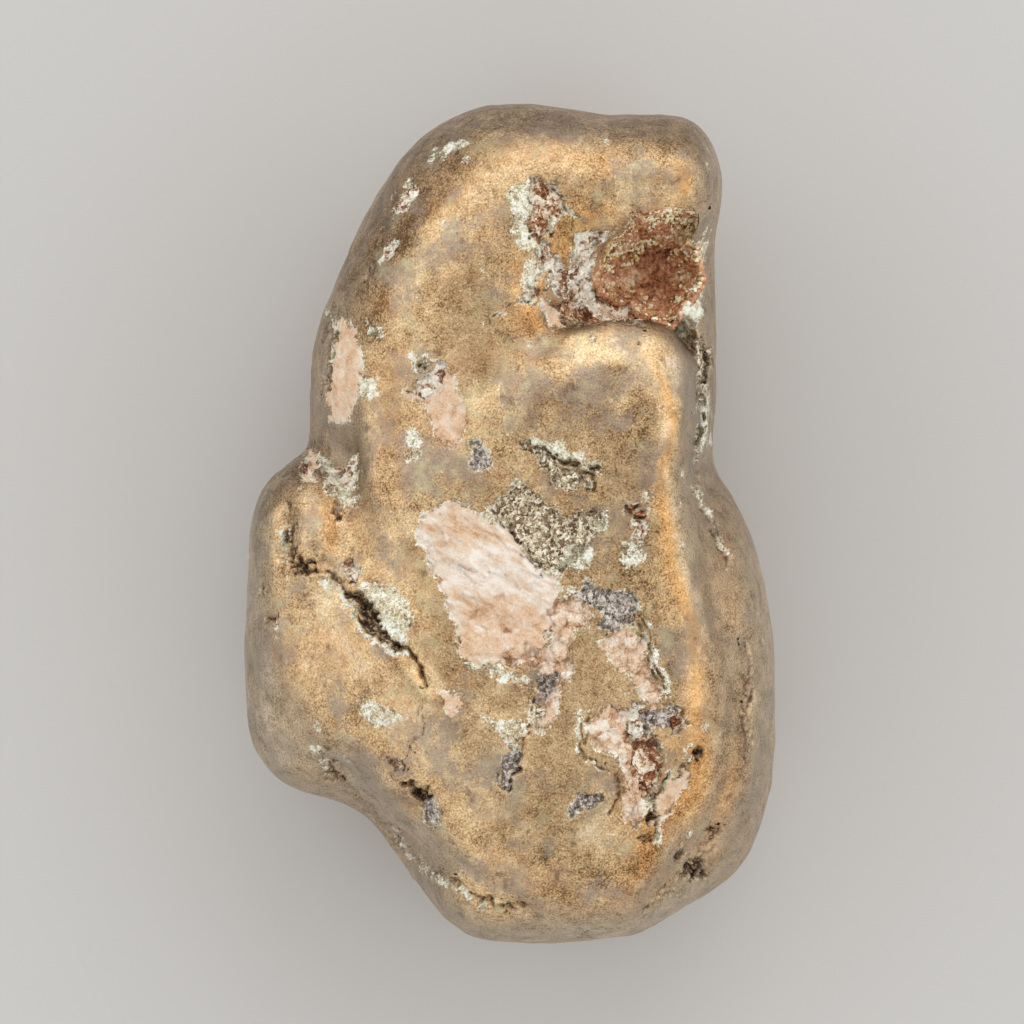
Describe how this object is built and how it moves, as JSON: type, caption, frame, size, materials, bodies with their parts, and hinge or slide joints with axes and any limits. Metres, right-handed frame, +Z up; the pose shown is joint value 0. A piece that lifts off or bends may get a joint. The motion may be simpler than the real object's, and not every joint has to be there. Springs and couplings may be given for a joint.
{
  "type": "domeykite specimen",
  "caption": "Polished, water-worn nugget of domeykite with calcite grown through it and a crystal-lined cavity, lying on its back.",
  "frame": {"origin": "on the surface the nugget rests on, under the middle of its box", "axes": "+X across the nugget, +Y along its length towards the crown, +Z up, out of its face"},
  "size_m": [0.0398, 0.0628, 0.0273],
  "materials": {
    "polished_domeykite": "tumble-polished copper arsenide, golden brown with a fine brown mottle, inlaid with pale pink calcite, rust and grey ore",
    "rusty_crystals": "rough rust-red lining with small golden crystals"
  },
  "bodies": {
    "root": {"nugget": "polished_domeykite", "cavity_crust": "rusty_crystals"}
  },
  "joints": []
}
